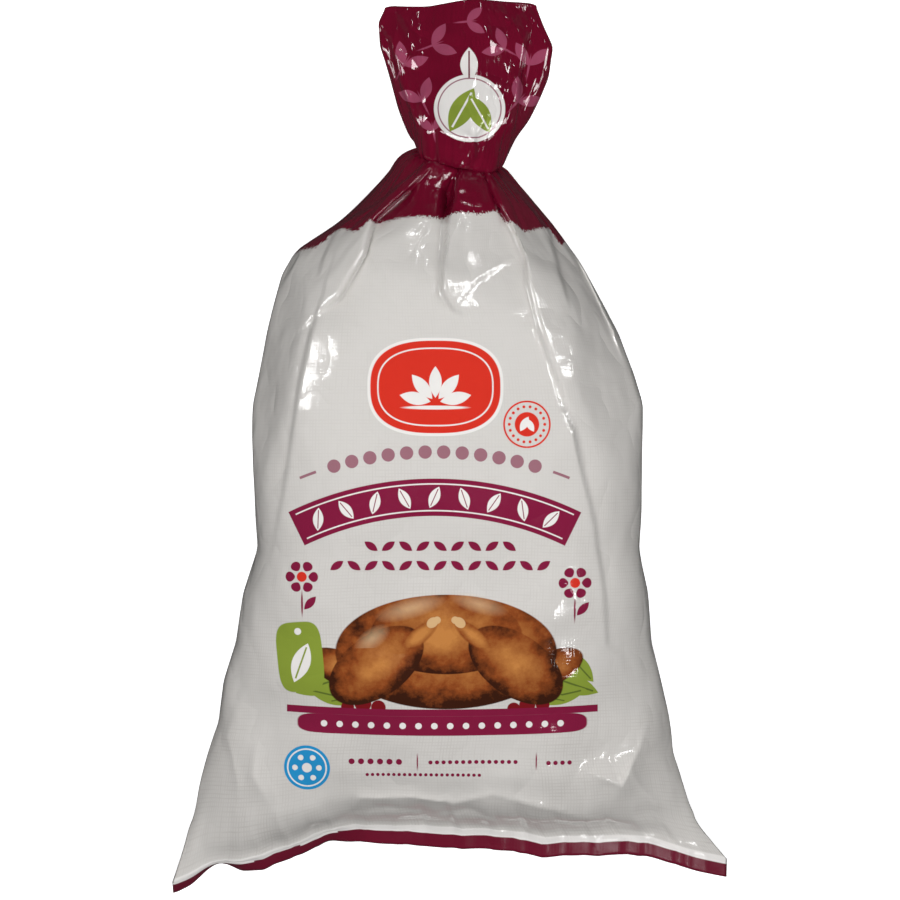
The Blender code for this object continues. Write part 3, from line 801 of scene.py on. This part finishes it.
def title(ink):
    """Arched ribbon with a keyline and leaves, under an arched row of dusky beads with a bar at each end."""
    bead_arch, ribbon_arch = 184.0, 161.0
    ink.beads(HUB, bead_arch, 3.4, 9.4, DUSKY_ROSE, 6)
    ink.band(HUB, bead_arch, 0.7, DUSKY_ROSE, turn=69.5, half_sweep=1.4)
    ink.band(HUB, bead_arch, 0.7, DUSKY_ROSE, turn=110.5, half_sweep=1.4)
    ink.band(HUB, ribbon_arch, 9.5, PRINT_BURGUNDY, half_sweep=26.0)
    ink.band(HUB, 167.8, 0.35, PRINT_WHITE, half_sweep=25.0)
    ink.band(HUB, 154.2, 0.35, PRINT_WHITE, half_sweep=25.0)
    for number in range(9):
        turn = 90 + (number - 4) * 5.4
        lean = math.radians(turn)
        spot = HUB + (ribbon_arch * math.cos(lean), ribbon_arch * math.sin(lean))
        ink.leaf(spot, (5.9, 2.7), PRINT_WHITE, turn + (24 if number % 2 else -24), rib=PRINT_BURGUNDY)


def garland(ink):
    """Two rows of small burgundy leaves that lean to and fro."""
    for row, (middle, count, along) in enumerate(((-5.0, 9, -49.0), (-5.0, 13, -59.0))):
        for number in range(count):
            across = middle + (number - (count - 1) / 2) * 8.8
            turn = 35 if (number + row) % 2 else -35
            ink.leaf((across, along), (4.1, 1.9), PRINT_BURGUNDY, turn)


def rosette(ink, centre):
    """Burgundy ring of beads round a disc, on a short stem with one leaf."""
    ink.beads(centre, 6.0, 2.5, 2 * math.pi * 6.0 / 6, PRINT_BURGUNDY, 3)
    ink.oval(centre, (2.6, 2.6), BADGE_RED)
    ink.oval(centre + (0, -14.0), (0.5, 6.0), PRINT_BURGUNDY)
    ink.leaf(centre + (4.2, -13.5), (4.6, 2.0), PRINT_BURGUNDY, 48)


def rosettes(ink):
    """A rosette on each side of the garland."""
    rosette(ink, np.array([-76.0, -65.0]))
    rosette(ink, np.array([64.0, -68.0]))


def roast_skin(n, place, depth):
    """Roast colour: dark at the edge and below, golden inside and above, mottled."""
    mottle = n.noise(place, 0.07, 5.0, 0.68)
    upward = n.ramp(n.axis(place, 1), -132.0, -76.0, -0.16, 0.2)
    spots = n.math("MULTIPLY", n.math("SUBTRACT", mottle, 0.5), 1.5)
    tone = n.math("ADD", n.math("ADD", depth, spots), upward)
    dark = n.mix(n.ramp(tone, -0.05, 0.28), ROAST_DARK, ROAST_BROWN)
    return n.mix(n.ramp(tone, 0.28, 0.95), dark, ROAST_GOLD)


def garnish(ink):
    """Green leaves and dark berries heaped on the dish at both sides."""
    for x, y, length, width, turn in (
        (-66, -121, 15, 5.5, 20), (-60, -127, 14, 5, -12), (-70, -112, 11, 4.5, 48), (-52, -128, 12, 4, 12),
        (63, -121, 15, 5.5, 160), (57, -127, 14, 5, 192), (67, -112, 11, 4.5, 132), (50, -128, 12, 4, 168),
    ):
        ink.leaf((x, y), (length, width), LEAF_GREEN, turn, rib=LEAF_RIB)
    for x, y, size in (
        (-45, -131, 4.4), (-37, -133, 3.8), (-53, -133, 3.4),
        (40, -132, 4.2), (48, -132, 3.6), (33, -134, 3.4),
    ):
        ink.oval((x, y), (size, size), BERRY)


def bird(ink):
    """A roast bird seen from its legs: wings, breast, back and thighs as rounded fields of brown."""
    for x, y, wide, high, turn in (
        (-55, -113, 19, 9, -24), (51, -113, 19, 9, 24),
        (-2, -104, 57, 30, 0), (-2, -95, 39, 20.5, 0),
        (-38, -111, 28, 16, 36), (34, -111, 28, 16, -36),
    ):
        out = ink.shape(OVAL, (x, y), turn, {"Half Width": wide, "Half Height": high, "Edge": 0.4})
        ink.fill(out["Mask"], roast_skin(ink.n, ink.place, out["Depth"]))


def trussing(ink):
    """The drumsticks with their bones crossed in the middle, and soft shine on the breast and thighs."""
    for side in (-1, 1):
        shape = {"Half Width": 11.0, "Half Height": 4.2, "Edge": 1.0}
        out = ink.shape(OVAL, (-2 + side * 13.5, -95), -side * 40, shape)
        ink.fill(out["Mask"], roast_skin(ink.n, ink.place, ink.n.math("ADD", out["Depth"], 0.25)))
        ink.oval((-2 + side * 7, -88.5), (3.2, 2.5), BONE, -side * 40)
        ink.oval((-2 + side * 4.6, -87.2), (1.9, 1.9), BONE)
    for x, y, wide, high, turn in ((-20, -81, 11, 3.2, 16), (15, -79, 8, 2.6, -16), (-40, -97, 6, 3.0, 36)):
        out = ink.shape(OVAL, (x, y), turn, {"Half Width": wide, "Half Height": high, "Edge": 5.0})
        ink.fill(ink.n.math("MULTIPLY", out["Mask"], 0.45), ROAST_SHINE)


def dish(ink):
    """Burgundy serving dish with a rolled rim and a row of white beads."""
    middle, sag = -4, 2000  # where the dish is across the bag, and the radius of its slight sag
    bowl = (middle, sag - 143)
    ink.band((middle, sag - 136), sag, 1.9, PRINT_BURGUNDY, turn=-90, half_sweep=2.32)
    ink.band(bowl, sag, 5.2, PRINT_BURGUNDY, turn=-90, half_sweep=1.78)
    for side in (-1, 1):
        ink.oval((middle + side * 61.5, -142.0), (14.0, 5.2), PRINT_BURGUNDY, side * 1.8, power=3.0)
    ink.beads(bowl, sag, 1.7, 8.2, PRINT_WHITE, 8, turn=-90)


def tag(ink):
    """Green hanging tag with a white hole and a white leaf."""
    centre = np.array([-77.5, -107.0])
    ink.oval(centre, (12.0, 18.5), LEAF_GREEN, 5, power=4)
    ink.oval(centre + (-1.0, 13.5), (1.8, 1.8), PRINT_WHITE)
    ink.leaf(centre + (0.5, -3.0), (11.0, 4.8), PRINT_WHITE, 70, rib=LEAF_GREEN)


def small_marks(ink):
    """Blue disc with white rings and beads, and rows of burgundy beads along the foot of the front."""
    centre = np.array([-75.0, -166.5])
    ink.oval(centre, (12.2, 12.2), SKY_BLUE)
    ink.band(centre, 10.2, 0.4, PRINT_WHITE)
    ink.beads(centre, 6.3, 1.5, 2 * math.pi * 6.3 / 6, PRINT_WHITE, 3)
    ink.oval(centre, (2.6, 2.6), PRINT_WHITE)
    almost_straight = 1500
    for x, y, pairs, bead in (
        (-39, -162.5, 3, 1.6), (12, -162.5, 7, 1.1), (-14, -169.5, 11, 0.9), (57, -163.5, 2, 1.2),
    ):
        ink.beads((x, y - almost_straight), almost_straight, bead, bead * 3.1, PRINT_BURGUNDY, pairs)
    for x in (-17, 45):
        ink.oval((x, -162.5), (0.35, 3.6), PRINT_BURGUNDY, power=6)


def printed_with(*prints):
    """A paint function: film with its crown and strip, then each print laid over it in turn."""
    def paint(n, film, place):
        ground, relief = plain_film(n, film)
        ink = Ink(n, place, crown_and_strip(n, film, ground))
        for printed in prints:
            printed(ink)
        return ink.under, relief
    return paint


def tonal_sprig(ink, centre, turn, size):
    """Two leaves and a stem in paler burgundy."""
    lean = math.radians(turn)
    ahead = np.array([math.cos(lean), math.sin(lean)]) * size
    beside = np.array([-ahead[1], ahead[0]])
    ink.oval(centre - ahead * 0.35, (0.6 * size, 0.55), BURGUNDY_LIGHT, turn)
    ink.leaf(centre + ahead * 0.25 + beside * 0.42, (0.62 * size, 0.27 * size), BURGUNDY_LIGHT, turn + 38)
    ink.leaf(centre + ahead * 0.25 - beside * 0.42, (0.62 * size, 0.27 * size), BURGUNDY_LIGHT, turn - 38)


def flare_paint(n, film, place):
    """Burgundy, creased more than the body: |noise - middle| as relief."""
    creased = n.ridges(n.noise(place, 0.04, 1.0, 0.4))
    return BURGUNDY, n.math("MULTIPLY", creased, 200.0)


def flare_front_paint(n, film, place):
    """Burgundy with paler sprigs round a white disc with a green leaf pair."""
    ground, relief = flare_paint(n, film, place)
    ink = Ink(n, place, ground)
    for x, y, turn, size in (
        (-23.0, 204.0, 60, 11.0), (-15.5, 184.5, 115, 11.0), (-7.0, 214.0, 20, 11.0),
        (27.0, 212.0, 150, 10.0), (42.0, 205.0, 80, 11.0), (37.0, 184.0, 50, 11.0),
        (-9.0, 168.0, 100, 8.0), (11.0, 226.0, 5, 9.0),
    ):
        tonal_sprig(ink, np.array([x, y]), turn, size)
    disc = (10.2, 178.0)
    ink.oval(disc, (18.6, 18.6), PRINT_WHITE)
    ink.leaf((10.0, 202.0), (9.5, 4.6), PRINT_WHITE, 90, rib=BURGUNDY)
    ink.band(disc, 16.4, 0.35, DUSKY_ROSE)
    ink.leaf((6.2, 177.0), (13.5, 6.0), LEAF_GREEN, 62, rib=PRINT_WHITE)
    ink.leaf((15.4, 175.0), (11.5, 5.2), LEAF_GREEN, 118, rib=PRINT_WHITE)
    return ink.under, relief


# The prints of the front's zones, from the mouth down. The first zone is plain.
ZONE_PRINTS = (
    ("front_title", (badge, stamp, title)),
    ("front_garland", (garland, rosettes)),
    ("front_roast", (rosettes, bird, trussing, tag)),
    ("front_dish", (garnish, bird, dish, tag)),
    ("front_foot", (small_marks,)),
)


def build_bag():
    """The bag up to its pinched neck, and the flare above it, centred as the part is.

    Gives back the middle of the outline, in the bag's own measures.
    """
    film_places = spread(*BODY_SPANS, *FLARE_SPANS)
    front, back = bag_rings(film_places)
    weld = weld_rows(front, back)
    front, back = (np.concatenate([rows, film]) for rows, film in zip(weld, (front, back)))
    weld_places = SEAM_Y - WELD_DEPTH * np.linspace(1.0, 0.0, WELD_ROWS, endpoint=False)
    places = np.concatenate([weld_places, film_places])
    for film in (front, back):
        film[..., 2] = np.maximum(film[..., 2], 0.0)
    outline = np.concatenate([front, back], axis=1)[..., :2].reshape(-1, 2)
    middle = (outline.min(axis=0) + outline.max(axis=0)) / 2
    neck = WELD_ROWS + sum(count for _, _, count in BODY_SPANS)
    plain = film_material("plain_film", printed_with(), middle)
    printed = [film_material(name, printed_with(*prints), middle) for name, prints in ZONE_PRINTS]
    body, flare = slice(0, neck + 1), slice(neck, None)
    skin("bag_body", front[body], back[body], places[body], (plain, *printed), plain, middle)
    flare_front = film_material("flare_front", flare_front_paint, middle)
    flare_back = film_material("flare_back", flare_paint, middle)
    skin("bag_flare", front[flare], back[flare], places[flare], (flare_front,), flare_back, middle)
    return middle


def build_floor():
    """Plain floor, wide enough for every view, pale to the camera and darker to the bag and its gloss."""
    mesh = bpy.data.meshes.new("floor")
    half = 6.0
    corners = [(-half, -half, 0), (half, -half, 0), (half, half, 0), (-half, half, 0)]
    mesh.from_pydata(corners, [], [(0, 1, 2, 3)])
    material = bpy.data.materials.new("floor")
    material.use_nodes = True
    n = Nodes(material.node_tree)
    shader = material.node_tree.nodes["Principled BSDF"]
    path = n.node("ShaderNodeLightPath")
    seen = path.outputs["Is Camera Ray"]
    given = n.mix(path.outputs["Is Glossy Ray"], (0.24, 0.24, 0.24, 1), (0.03, 0.03, 0.03, 1))
    n.put(shader.inputs["Base Color"], n.mix(seen, given, (0.9, 0.9, 0.9, 1)))
    n.put(shader.inputs["Emission Strength"], n.math("MULTIPLY", seen, 0.8))
    shader.inputs["Emission Color"].default_value = (1, 1, 1, 1)
    shader.inputs["Roughness"].default_value = 0.9
    mesh.materials.append(material)
    floor = bpy.data.objects.new("floor", mesh)
    bpy.context.scene.collection.objects.link(floor)


def area_light(name, spot, aim, size, power, mirrored):
    """A rectangular light at the spot, facing the aim, which only shows in the gloss, or only lights."""
    light = bpy.data.lights.new(name, "AREA")
    light.shape = "RECTANGLE"
    light.size, light.size_y = size
    light.energy = power
    lamp = bpy.data.objects.new(name, light)
    lamp.location = spot
    lamp.visible_glossy = mirrored
    lamp.visible_diffuse = not mirrored
    bpy.context.scene.collection.objects.link(lamp)
    toward = mathutils.Vector(aim) - mathutils.Vector(spot)
    lamp.rotation_euler = toward.to_track_quat("-Z", "Y").to_euler()


# (name, spot, size, power, whether it only shows in the gloss)
LIGHTS = (
    ("left_fill", (-1.2, 1.0, 1.9), (0.5, 1.0), 19, False),
    ("right_fill", (1.35, 0.5, 1.85), (0.5, 1.0), 13, False),
    ("overhead_fill", (0.0, -0.9, 2.1), (0.7, 0.7), 24, False),
    ("left_window", (-1.55, 0.7, 1.9), (0.12, 1.1), 11, True),
    ("left_strip", (-2.85, 0.9, 1.95), (1.0, 2.0), 80, True),
    ("right_window", (1.95, 1.5, 1.95), (0.8, 1.5), 56, True),
    ("right_strip", (2.9, 0.9, 1.6), (0.3, 1.6), 24, True),
    ("mouth_window", (1.3, 5.2, 1.95), (0.3, 0.5), 14, True),
    ("corner_window", (1.55, -2.1, 1.95), (0.3, 0.35), 8, True),
)
LIGHTS_AIM = (0, 0, 0.05)


def build_light():
    """An even pale world, dimmer in the gloss, three fill lights, and windows that only the gloss shows."""
    world = bpy.data.worlds.new("studio")
    world.use_nodes = True
    n = Nodes(world.node_tree)
    sky = world.node_tree.nodes["Background"].inputs
    sky["Color"].default_value = (1, 1, 1, 1)
    mirrored = n.node("ShaderNodeLightPath").outputs["Is Glossy Ray"]
    n.put(sky["Strength"], n.ramp(mirrored, 0.0, 1.0, 0.17, 0.03))
    bpy.context.scene.world = world
    for name, spot, size, power, only_gloss in LIGHTS:
        area_light(name, spot, LIGHTS_AIM, size, power, only_gloss)


CAMERA_HEIGHT = 2.1
OUTLINE_HEIGHT = 0.06  # where the bag's outline is, above the floor
FRAME_WIDTH = 0.477  # what the picture is across there


def build_camera(middle):
    """Straight down on the zero of the bag's own measures, the frame's width at the outline's height."""
    camera = bpy.data.cameras.new("camera")
    camera.sensor_width = 36.0
    camera.lens = 36.0 * (CAMERA_HEIGHT - OUTLINE_HEIGHT) / FRAME_WIDTH
    holder = bpy.data.objects.new("camera", camera)
    holder.location = (-middle[0] * MM, -middle[1] * MM, CAMERA_HEIGHT)
    bpy.context.scene.collection.objects.link(holder)
    bpy.context.scene.camera = holder


build_light()
build_floor()
build_camera(build_bag())
bpy.context.scene.view_settings.view_transform = "Standard"
